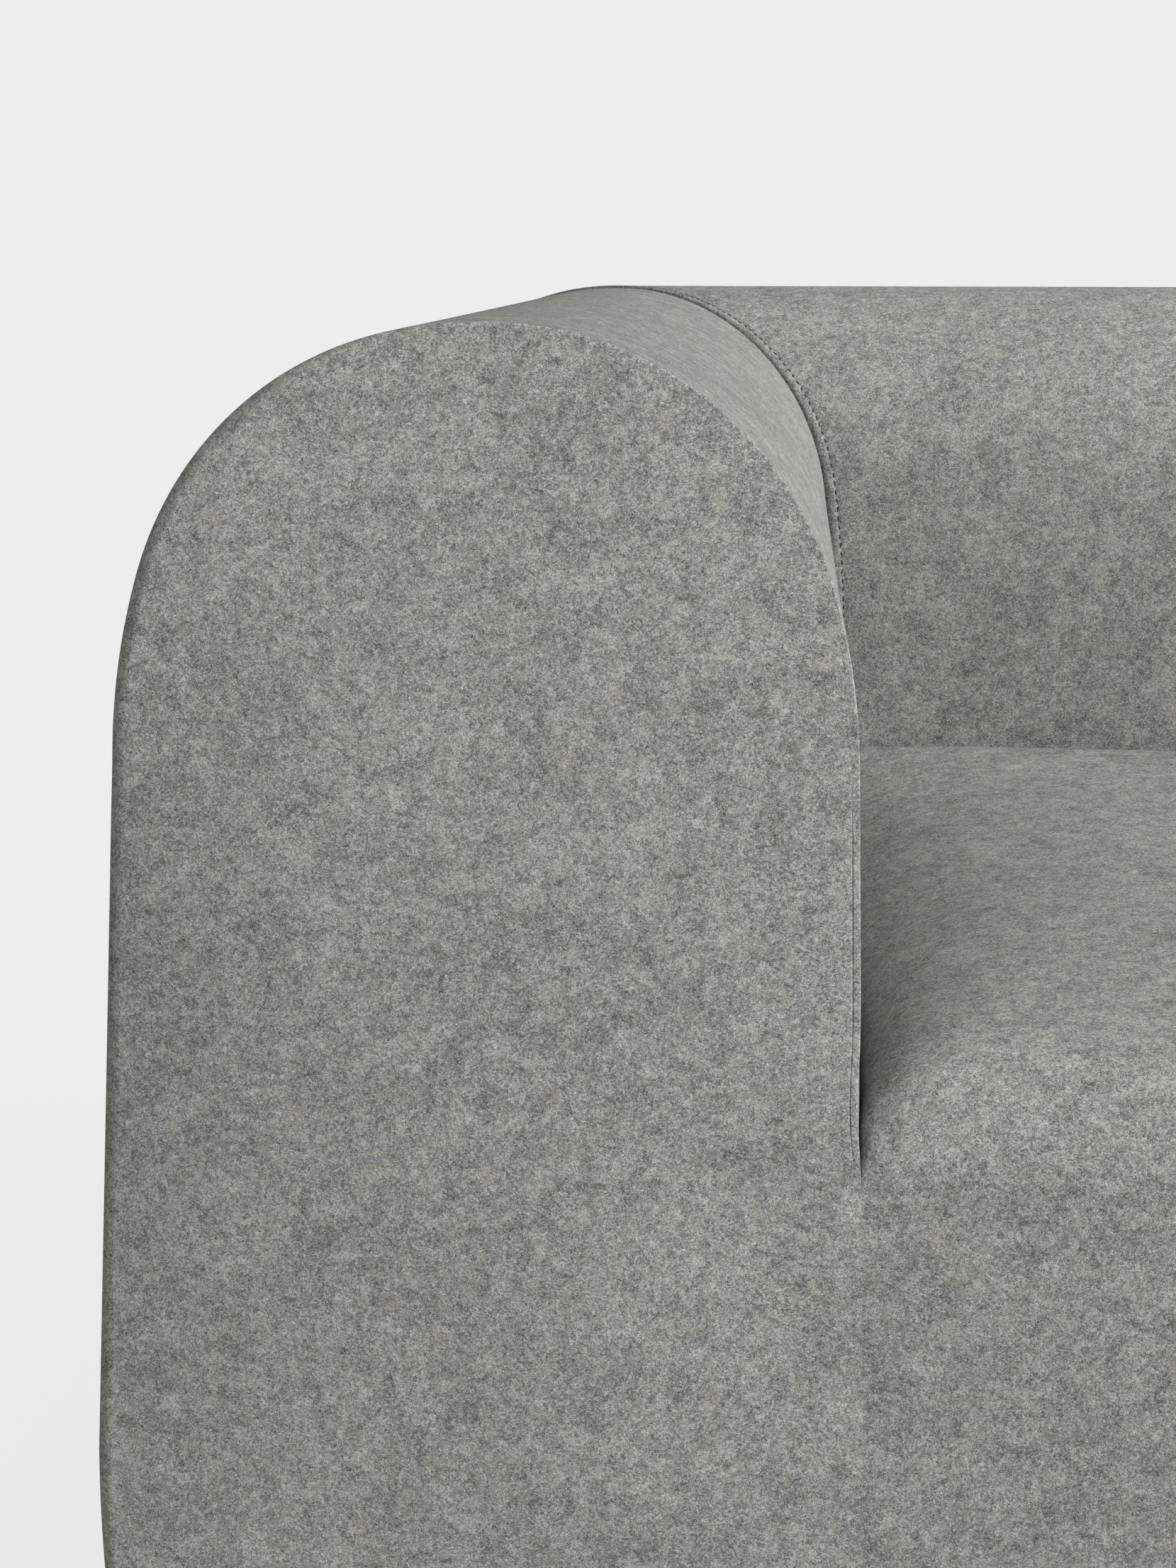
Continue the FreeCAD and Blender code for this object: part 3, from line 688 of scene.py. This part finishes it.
def buildArm():
    half = bolster["half"] + np.zeros(loopCount)
    z0 = outline(half)[1]
    above = np.where(loopSide > 0, smooth(arm["slitLow"], arm["slitHigh"], z0), 1.0)
    wide = loopTuck * (1 - smooth(*arm["outerEdgeTurn"], crownTurn))
    edge = arm["flushEdge"] + (arm["edge"] - arm["flushEdge"]) * above
    edge = edge + (arm["outerEdge"] - arm["edge"]) * wide
    offsets = arm["panelOffsets"][:, None]
    start = arm["edgeAngles"][0]
    u1, z1 = outline(half, edge * (1 - np.cos(start)) + offsets)
    crisp = arm["crispLeast"] + (1 - arm["crispLeast"]) * (1 - smooth(arm["crispTo"], shoulderZ, z0))
    line = bell(offsets - arm["stitchOffset"], arm["stitchWidth"])
    stitched = arm["stitchDepth"] * crisp * above * (1 - wide) * line
    flush = flushDip(z0) * (1 - above) * bell(offsets, arm["flushWidth"])
    v1 = stitched + flush + edge * (1 - np.sin(start)) + 0 * u1
    angles = arm["edgeAngles"][1:, None]
    u2, z2 = outline(half, edge * (1 - np.cos(angles)))
    v2 = edge * (1 - np.sin(angles)) + flush[-1]
    u3, v3, z3 = bandLoops(armCorner, edge, arm["bandSteps"], 0.0, 0.0, arm["rearSink"])
    drawn = np.where(loopSide > 0, bolster["cornerDraw"], 0.0)
    u4, z4 = outline(half - drawn, arm["seamDepth"] + arm["turnIn"])
    v4 = armCorner - u4
    local = np.stack([stacked(u1, u2, u3, u4), stacked(v1, v2, v3, v4), stacked(z1, z2, z3, z4)], -1)
    # the panel's upper part leans back, and the band's front takes that up
    rise = np.clip((local[..., 2] - arm["leanFrom"]) / (topZ - arm["leanFrom"]), 0, 1)
    local[..., 1] += arm["lean"] * rise**2 * (1 - smooth(0, arm["leanReach"], local[..., 1]))
    local[..., 0] -= np.where(loopSide > 0, dartPull(local[..., 1], local[..., 2]), 0.0)
    grid = local + np.array([armX, frontY, 0])
    panelRings = len(arm["panelOffsets"])
    rings = panelRings + len(angles)

    # panel: chords between the two sides of its innermost ring
    spread = np.linspace(0, 1, arm["panelAcross"])
    left, right = grid[0, :rowCount], grid[0, ::-1][:rowCount]
    chords = left[:, None] + (right - left)[:, None] * spread[None, :, None]

    # the filling presses the panel outwards; its cloth is held along the rolled edge
    rows, cols = arm["panelCloth"]
    rim = grid[panelRings - 1]
    rimLeft, rimRight = rim[:rowCount], rim[::-1][:rowCount]
    rowAt = np.round(np.linspace(0, rowCount - arm["panelTop"], rows)).astype(int)
    across = np.linspace(0, 1, cols)[None, :, None]
    base = rimLeft[rowAt][:, None] + (rimRight - rimLeft)[rowAt][:, None] * across
    bulge = swell("panelCloth", base, heldEdges(base.shape), arm["panelSwell"])
    rowRead = np.interp(np.arange(rowCount), rowAt, np.arange(rows))

    def bulgeAt(points):
        # read by place; beside the seat front the panel stays level with it
        x, z = points[..., 0], points[..., 2]
        start = np.interp(z, rimLeft[:, 2], rimLeft[:, 0])
        wide = np.maximum(np.interp(z, rimLeft[:, 2], rimRight[:, 0]) - start, arm["leastWidth"])
        at = np.clip((x - start) / wide, 0, 1)
        shift = sample(bulge, np.interp(z, rimLeft[:, 2], rowRead), at * (cols - 1))
        low = 1 - smooth(arm["slitLow"], arm["slitHigh"], z)
        level = low * (1 - smooth(0, arm["flushEase"], start + wide - x))
        return shift * (1 - level)[..., None]

    def fallBack(points):
        # towards its outer edge the panel bends back, and the band's front takes that up
        share = np.clip((armX + bolster["half"] - points[..., 0]) / (2 * bolster["half"]), 0, 1)
        return arm["turnBack"] * share**4 * (1 - smooth(0, arm["leanReach"], points[..., 1] - frontY))

    chords += bulgeAt(chords)
    grid[:panelRings] += bulgeAt(grid[:panelRings])
    chords[..., 1] += fallBack(chords)
    grid[..., 1] += fallBack(grid)

    first = rings - 1
    swellBand("armCloth", grid, first, first + arm["bandSteps"], arm["clothRows"], arm["bandSwell"])
    points = np.concatenate([grid.reshape(-1, 3), chords.reshape(-1, 3)])
    last = (len(grid) - 1) * loopCount
    faces = np.concatenate([
        gridFaces(len(grid), loopCount, 0, True),
        closeCap(last)[:, ::-1],
        gridFaces(rowCount, len(spread), grid.shape[0] * loopCount),
    ])
    addPiece("Arm", points, faces.tolist(), feltCover, ("arm_cover", "arm_foam"))

    normal = surfaceNormal(grid)
    shown = (above > arm["stitchedAbove"]) & (wide < arm["stitchedWide"])
    ring = int(np.argmin(abs(arm["panelOffsets"] - arm["stitchOffset"])))
    forward = -np.abs(normal[ring][shown]) * (0, 1, 0)
    addStitches("PanelStitches", grid[ring][shown], forward, arm["panelStitches"], finishes["thread"])
    ring = rings + arm["bandSteps"] + int(np.argmin(abs(arm["seamDistances"] - arm["dotAt"])))
    shown = z0 > groundZ + arm["seamFrom"]
    # the seam's stitches use the thread with painted shade: its near-black tone stands in for the shadow of
    # the stitch holes
    addStitches("ArmSeamStitches", grid[ring][shown], normal[ring][shown], arm["seamStitches"],
                finishes["threadWithPaintedShade"])


# backrest: a rolled edge at the joint, a band along the back and the other side of the mitred seam
back = {
    "jointEdge": 12 * mm,
    "edgeAngles": np.radians([90, 75, 60, 45, 30, 15, 0]),
    "bandSteps": 72,
    "ridge": 0.22 * mm,
    "swell": 3.0 * mm,
    "clothRows": 26,
    "fill": 0.9,
    "seamStitches": {"pitch": 5.6 * mm, "length": 3.2 * mm, "radius": 0.68 * mm, "sink": 0.05 * mm,
                     "wander": 0.12 * mm, "skew": 0.2, "seed": 5},
}


def buildBack():
    half = bolster["half"] + np.zeros(loopCount)
    sink = bolster["rearSink"]
    z0 = outline(half)[1]
    angles = back["edgeAngles"][:, None]
    edge = back["jointEdge"]
    u1, z1 = outline(half, edge * (1 - np.cos(angles)) + sink)
    v1 = edge * (1 - np.sin(angles)) + 0 * u1
    u2, v2, z2 = bandLoops(backCorner, edge, back["bandSteps"], back["ridge"], sink, sink)
    drawn = np.where(loopSide > 0, bolster["cornerDraw"], 0.0)
    u3, z3 = outline(half - drawn, arm["seamDepth"] + arm["turnIn"])
    u, v, z = stacked(u1, u2, u3), stacked(v1, v2, backCorner - u3), stacked(z1, z2, z3)
    grid = np.stack([jointX - v, backY - u, z], -1)
    rings = len(angles)
    first = rings - 1
    swellBand("backCloth", grid, first, first + back["bandSteps"], back["clothRows"], back["swell"], True)
    last = (len(grid) - 1) * loopCount
    tube = gridFaces(len(grid), loopCount, 0, True)
    faces = np.concatenate([tube, closeCap(last)[:, ::-1], closeCap(0)])[:, ::-1]
    addPiece("Back", grid.reshape(-1, 3), faces.tolist(), feltCover, ("back_cover", "back_foam"))

    normal = -surfaceNormal(grid)
    fromSeam = abs(arm["seamDistances"] - arm["ridgeEnd"] - arm["dipShift"])
    ring = rings + back["bandSteps"] + int(np.argmin(fromSeam))
    shown = z0 > groundZ + arm["seamFrom"]
    # the seam's stitches use the thread with painted shade: its near-black tone stands in for the shadow of
    # the stitch holes
    addStitches("BackSeamStitches", grid[ring][shown], normal[ring][shown], back["seamStitches"],
                finishes["threadWithPaintedShade"])


buildArm()
buildBack()
print("stage: arm and back")

# seat: a back tuck, a crowned top, a waterfall arc and a front face flush with the arm's panel
seat = {
    "apexY": seatLow[1] + 947 * mm,
    "top": seatHigh[2] + 1.6 * mm,
    "fallRadius": 4863 * mm,
    "waterfall": 64 * mm,
    "backRoll": 9 * mm,
    "backTuck": 205 * mm,
    "armRoll": 7 * mm,
    "underlap": 1.5 * mm,
    "shoulder": 38 * mm,
    "backShoulder": 2 * mm,
    "shoulderReach": 42 * mm,
    "jointRoll": 13 * mm,
    "wall": np.array([55, 35, 18, 8, 3]) * mm,
    "rollAngles": np.radians([0, 10, 20, 30, 40, 50, 60, 70, 80, 90]),
    "across": 70,
    "backGap": 0.6 * mm,
    "armGap": 0.8 * mm,
    "armGapReach": 0.1,
    "jointGap": 0.5 * mm,
    "hemWidth": 25 * mm,
    "slitRoll": 0.6 * mm,
    "slitRise": 0.3,  # share of the way up from the slit's end at which the roll is full
    "risePast": 1.2,
    "fallRise": 1.15,
    "reachLeast": 4 * mm,
    "frontFall": (0.75, 0.2),  # share of the fall at the front, and how far back it is full
    "frontReach": (0.35, 0.5),
    "rearPower": 5,
    "levelGap": 0.1 * mm,
    "cloth": (46, 30),
    "heldRows": 3,
    "fill": 0.85,
    "sideLap": 6 * mm,
    "sideSteps": 8,
    "steps": (4, 8, 70, 56, 44, 14, 5, 3),
    "swell": 4 * mm,
}


def buildSeat():
    # profile points: tuck, back roll, top, waterfall, front face, tucked foot, hem roll and hem
    steps = seat["steps"]
    segment = np.append(np.repeat(np.arange(8), steps), 7)[:, None]
    part = np.append(np.concatenate([np.arange(n) / n for n in steps]), 1.0)[:, None]
    fallRadius = seat["fallRadius"]
    startY = frontY + seat["waterfall"]

    def topOf(y):
        return seat["top"] - (y - seat["apexY"]) ** 2 / (2 * fallRadius)

    fallY = startY
    for k in range(8):  # where the top runs into the roll without a step
        slope = math.atan2(seat["apexY"] - fallY, fallRadius)
        fallY = startY - seat["waterfall"] * math.sin(slope)
    centreZ = topOf(fallY) - seat["waterfall"] * math.cos(slope)

    reachIn = armCorner - bolster["half"] + bolster["cornerDraw"]
    backIn = backCorner - bolster["half"] + bolster["cornerDraw"]
    inner = bolster["half"] + bolster["flareIn"] * (shoulderZ - seat["top"]) / (shoulderZ - tuckZ)

    def backEdge(x):
        return backY - inner + bolster["cornerDraw"] * (jointX - x) / backIn - seat["backGap"]

    def profile(x):
        roll = seat["backRoll"]
        edgeY = backEdge(x)
        rollZ = topOf(edgeY - roll) - roll
        turn = part * math.pi / 2
        topY = edgeY - roll + (fallY - edgeY + roll) * part
        arc = math.pi / 2 + slope + (math.pi / 2 - slope) * part
        rolling = bolster["hemRadius"]
        lowZ = groundZ + rolling
        footZ = tuckZ + (lowZ - tuckZ) * part
        hemAngle = part * math.pi / 2
        footY = frontY + tuckIn(lowZ)
        which = [segment == k for k in range(8)]
        flat = 0 * (part + x)
        y = np.select(which, [
            edgeY + flat,
            edgeY - roll + roll * np.cos(turn),
            topY,
            startY + seat["waterfall"] * np.cos(arc) + flat,
            frontY + flat,
            frontY + tuckIn(footZ) + flat,
            footY + rolling * (1 - np.cos(hemAngle)) + flat,
            footY + rolling + seat["hemWidth"] * part + flat,
        ])
        z = np.select(which, [
            rollZ - seat["backTuck"] * (1 - part),
            rollZ + roll * np.sin(turn),
            topOf(topY),
            centreZ + seat["waterfall"] * np.sin(arc) + flat,
            centreZ + (tuckZ - centreZ) * part + flat,
            footZ + flat,
            lowZ - rolling * np.sin(hemAngle) + flat,
            groundZ + flat,
        ])
        return y, z

    def armEdge(y, z):
        side = bolster["half"] + bolster["flareIn"] * np.clip((shoulderZ - z) / (shoulderZ - tuckZ), 0, 1)
        deep = np.clip(y - frontY, 0, None)
        low = 1 - smooth(arm["slitLow"], arm["slitHigh"], z)
        gap = seat["armGap"] * np.clip(deep / seat["armGapReach"], 0, 1) - seat["underlap"] * low
        return armX + side - bolster["cornerDraw"] * deep / reachIn + gap - dartPull(deep, z)

    angles = seat["rollAngles"]
    share = np.linspace(0, 1, seat["across"] + 1)[1:-1]
    walls = seat["wall"]
    kinds = np.repeat(np.arange(4), [len(walls), len(angles), len(share), len(angles)])[None]
    value = np.concatenate([walls, angles, share, angles[::-1]])[None]
    armSide = armX + bolster["half"]
    x = armSide + (jointX - armSide) * np.linspace(0, 1, kinds.shape[1])[None]
    for k in range(5):  # the arm's edge depends on the place, so the columns are found in rounds
        y, z = profile(x)
        left = armEdge(y, z)
        right = jointX - seat["jointGap"]
        run = np.clip((z - arm["slitLow"]) / (topOf(startY) - arm["slitLow"]), 0, seat["risePast"])
        roll = seat["slitRoll"] + (seat["armRoll"] - seat["slitRoll"]) * smooth(0, seat["slitRise"], run)
        far = seat["jointRoll"]
        e = np.select([kinds == 0, kinds == 1, kinds == 2], [
            0 * roll, roll * (1 - np.cos(value)), roll + (right - left - roll - far) * value], right - left)
        x = np.where(kinds == 3, right - far * (1 - np.cos(value)), left + e)
    deep = np.select([kinds == 0, kinds == 1, kinds == 3], [
        roll + value, roll * (1 - np.sin(value)), far * (1 - np.sin(value)) + 0 * roll], 0 * roll)
    rearward = np.clip((y - startY) / (backEdge(x) - startY), 0, 1)

    def growing(setting):
        least, full = setting
        return least + (1 - least) * smooth(0, full, rearward)

    # beside the arm the seat falls away exponentially, less and less towards the back
    # and down to the slit's end
    ebb = 1 - rearward ** seat["rearPower"]
    fall = seat["backShoulder"] + seat["shoulder"] * ebb * growing(seat["frontFall"])
    wide = seat["shoulderReach"] * smooth(0, seat["risePast"], run) * growing(seat["frontReach"])
    reach = seat["reachLeast"] + wide
    deep = deep + fall * smooth(0, seat["fallRise"], run) * np.exp(-e / reach)
    below = 1 - smooth(arm["slitLow"], arm["slitHigh"], z)
    groove = flushDip(z) * bell(e - seat["underlap"], arm["flushWidth"]) + seat["levelGap"]
    deep = deep + groove * below * (kinds > 0)
    dy, dz = np.gradient(y, axis=0), np.gradient(z, axis=0)
    length = np.sqrt(dy**2 + dz**2)
    grid = np.stack([x, y - dz / length * deep, z + dy / length * deep], -1)

    first, near = sum(steps[:2]), len(walls)
    clothRows, clothCols = seat["cloth"]
    rowAt, rowRead = evenly(grid[:, grid.shape[1] // 2], first, len(part) - 1, clothRows)
    colAt, colRead = evenly(grid[first + steps[2] // 2], near, kinds.shape[1] - 1, clothCols)
    coarse = grid[rowAt][:, colAt]
    held = heldEdges(coarse.shape)
    held[-seat["heldRows"]:] = True
    bulge = swell("seatCloth", coarse, held, seat["swell"], True)
    grid = grid + sample(bulge, *np.broadcast_arrays(rowRead[:, None], colRead[None]))

    # joint side: straight lines from the seat's edge in to the cloth on the side of the seat box
    clothLow, clothHigh = corners("left_joint_side_cloth")
    edge = grid[steps[0]:sum(steps[:7]) + 1, -1]
    end = edge.copy()
    end[:, 1] = np.maximum(edge[:, 1], clothLow[1] + seat["sideLap"])
    end[:, 2] = np.minimum(edge[:, 2], clothHigh[2] - seat["sideLap"])
    side = edge[:, None] + (end - edge)[:, None] * np.linspace(0, 1, seat["sideSteps"])[None, :, None]
    points = np.concatenate([grid.reshape(-1, 3), side.reshape(-1, 3)])
    top = gridFaces(*grid.shape[:2])
    wallFaces = gridFaces(*side.shape[:2], grid[..., 0].size)
    faces = np.concatenate([top, wallFaces])[:, ::-1]
    replaced = ("seat_cover", "seat_foam", "spring_pad")
    addPiece("Seat", points, faces.tolist(), feltCover, replaced)


buildSeat()
print("stage: seat")

# dust cloth under the base with holes for the studs, and the cloth on the joint side
sheets = {"holeRadius": 9 * mm, "holePoints": 24, "rows": 24, "cols": 40}


def buildSheets():
    low, high = corners("left_bottom_cloth")
    level = (low[2] + high[2]) / 2
    shape = bmesh.new()
    loops = [np.array([[low[0], low[1]], [high[0], low[1]], [high[0], high[1]], [low[0], high[1]]])]
    turn = np.arange(sheets["holePoints"]) * 2 * math.pi / sheets["holePoints"]
    for foot in ("front_outer_foot", "rear_outer_foot", "front_joint_foot", "rear_joint_foot"):
        footLow, footHigh = corners("left_" + foot)
        middle = (footLow + footHigh)[:2] / 2
        loops.append(middle + sheets["holeRadius"] * np.stack([np.cos(turn), np.sin(turn)], -1))
    for loop in loops:
        ring = [shape.verts.new((x, y, level)) for x, y in loop]
        for a, b in zip(ring, ring[1:] + ring[:1]):
            shape.edges.new((a, b))
    bmesh.ops.triangle_fill(shape, use_beauty=True, edges=shape.edges[:], normal=(0, 0, -1))
    shape.verts.index_update()
    points = np.array([v.co[:] for v in shape.verts])
    faces = [[v.index for v in f.verts] for f in shape.faces]
    shape.free()
    made = addPiece("BottomCloth", points, faces, finishes["dustCloth"], ("bottom_cloth",))

    low, high = corners("left_joint_side_cloth")
    rows, cols = np.linspace(0, 1, sheets["rows"]), np.linspace(0, 1, sheets["cols"])
    y = low[1] + (high[1] - low[1]) * cols[None] + 0 * rows[:, None]
    z = low[2] + (high[2] - low[2]) * rows[:, None] + 0 * cols[None]
    x = (low[0] + high[0]) / 2 + 0 * y
    points = np.stack([x, y, z], -1)
    faces = gridFaces(sheets["rows"], sheets["cols"])
    made = addPiece("JointSideCloth", points.reshape(-1, 3), faces.tolist(), finishes["dustCloth"],
                    ("joint_side_cloth",))


buildSheets()
print("stage: sheets")

# pale studio: a white floor that fades into a backdrop which only the camera sees
studio = {
    "backdrop": 0.847,
    "backdropRadius": 30.0,
    "backdropSplits": 3,
    "ambient": 0.02,
    "floor": (0.93, 0.93, 0.925, 1),
    "floorGlow": 0.945,
    "floorMottle": ((3.0, 3.0, 0.5), (0.3, 0.7), 0.99),  # noise, range, darker tone
    "floorRoughness": 0.9,
    "floorSpecular": 0.1,
    "bounceLevel": -1 * mm,
    "bounce": (0.29, 0.29, 0.287, 1),
    "bounceHalf": 4.0,
    "fadeFrom": 0.05,
    "fadeTo": 0.7,
    "floorHalf": 2.4,
    "suns": {  # direction towards the light, strength, angle in degrees
        "keyLight": ((0.84, -0.385, 0.35), 4.0, 45.0),
        "highLight": ((0.30, -0.30, 0.90), 0.58, 60.0),
        "fillLight": ((-0.58, -0.75, 0.32), 1.0, 60.0),
    },
    "lamps": {  # place, turn about X in degrees, watts, width, height
        "rearLight": ((-0.3, 2.0, 0.32), -90.0, 30.0, 2.2, 0.4),
        "topLight": ((0.0, 0.32, 1.3), 0.0, 2.0, 0.6, 0.25),
    },
}


def emission(place, strength):
    return place.node("ShaderNodeEmission", {"Color": (strength, strength, strength, 1), "Strength": 1.0})


def seenBy(piece, camera, light):
    piece.visible_camera = camera
    piece.visible_diffuse = light
    piece.visible_glossy = light
    piece.visible_transmission = light
    piece.visible_shadow = light


def addFloor(name, half, level, material):
    mesh = bpy.data.meshes.new(name)
    mesh.from_pydata([(-half, -half, level), (half, -half, level), (half, half, level), (-half, half, level)],
                     [], [(0, 1, 2, 3)])
    mesh.materials.append(material)
    floor = bpy.data.objects.new(name, mesh)
    bpy.context.scene.collection.objects.link(floor)
    return floor


def buildStudio():
    material, place, shader = newMaterial("paleFloor")
    tree = material.node_tree
    waves, span, darker = studio["floorMottle"]
    mottle = noise(place, *waves).within(*span)
    tone = mix(mottle, studio["floor"], tuple(darker * c for c in studio["floor"][:3]) + (1,))
    tone.put(shader.inputs["Base Color"], tone)
    shader.inputs["Roughness"].default_value = studio["floorRoughness"]
    shader.inputs["Specular IOR Level"].default_value = studio["floorSpecular"]
    matt = Field(tree, shader.outputs[0])
    glow = emission(place, studio["backdrop"])
    lit = place.node("ShaderNodeMixShader", {0: studio["floorGlow"], 1: matt, 2: glow})
    along = place.node("ShaderNodeSeparateXYZ", {0: place}, output=0)
    deep = place.node("ShaderNodeSeparateXYZ", {0: place}, output=1)
    beyondX = along.maths("MAXIMUM", abs(along) - float(cadHigh[0]), 0.0)
    beyondY = deep.maths("MAXIMUM", abs(deep) - float(cadHigh[1]), 0.0)
    gone = ((beyondX**2.0 + beyondY**2.0) ** 0.5).within(studio["fadeFrom"], studio["fadeTo"])
    clear = place.node("ShaderNodeBsdfTransparent")
    both = place.node("ShaderNodeMixShader", {0: gone, 1: lit, 2: clear})
    output = next(n for n in tree.nodes if n.type == "OUTPUT_MATERIAL")
    tree.links.new(both.socket, output.inputs["Surface"])
    seenBy(addFloor("floor", studio["floorHalf"], 0.0, material), True, False)
    material, place, shader = newMaterial("bounceFloor")
    shader.inputs["Base Color"].default_value = studio["bounce"]
    seenBy(addFloor("bounceFloor", studio["bounceHalf"], studio["bounceLevel"], material), False, True)

    shape = bmesh.new()
    bmesh.ops.create_icosphere(shape, subdivisions=studio["backdropSplits"], radius=studio["backdropRadius"])
    mesh = bpy.data.meshes.new("backdrop")
    shape.to_mesh(mesh)
    shape.free()
    backdrop = bpy.data.objects.new("backdrop", mesh)
    bpy.context.scene.collection.objects.link(backdrop)
    material, place, shader = newMaterial("backdropTone")
    tree = material.node_tree
    output = next(n for n in tree.nodes if n.type == "OUTPUT_MATERIAL")
    tree.links.new(emission(place, studio["backdrop"]).socket, output.inputs["Surface"])
    mesh.materials.append(material)
    seenBy(backdrop, True, False)

    world = bpy.data.worlds.new("studio")
    bpy.context.scene.world = world
    world.use_nodes = True
    shade = world.node_tree.nodes["Background"]
    shade.inputs["Color"].default_value = (1, 1, 1, 1)
    shade.inputs["Strength"].default_value = studio["ambient"]
    for name, (way, strength, angle) in studio["suns"].items():
        light = bpy.data.lights.new(name, "SUN")
        light.energy = strength
        light.angle = math.radians(angle)
        lamp = bpy.data.objects.new(name, light)
        bpy.context.scene.collection.objects.link(lamp)
        lamp.rotation_euler = Vector(way).to_track_quat("Z", "Y").to_euler()
    for name, (where, turn, watts, wide, high) in studio["lamps"].items():
        light = bpy.data.lights.new(name, "AREA")
        light.energy = watts
        light.shape = "RECTANGLE"
        light.size = wide
        light.size_y = high
        lamp = bpy.data.objects.new(name, light)
        bpy.context.scene.collection.objects.link(lamp)
        lamp.location = where
        lamp.rotation_euler = (math.radians(turn), 0, 0)
        seenBy(lamp, False, True)


view = {  # lens and sensor in millimetres, angles in degrees
    "place": (-607.2 * mm, frontY - 1870.4 * mm, 751.6 * mm),
    "pitch": 5.320,
    "yaw": 6.139,
    "lens": 90.34,
    "sensor": 36,
    "shiftY": -0.15,
    "sight": 100,
}


def buildCamera():
    data = bpy.data.cameras.new("camera")
    data.lens = view["lens"]
    data.sensor_width = view["sensor"]
    data.shift_y = view["shiftY"]
    data.clip_end = view["sight"]
    camera = bpy.data.objects.new("camera", data)
    camera.location = view["place"]
    camera.rotation_euler = (math.radians(90 - view["pitch"]), 0, math.radians(view["yaw"]))
    bpy.context.scene.collection.objects.link(camera)
    bpy.context.scene.camera = camera
    bpy.context.scene.view_settings.view_transform = "Standard"
    bpy.context.scene.view_settings.look = "None"


buildStudio()
buildCamera()
print("stage: studio and camera")
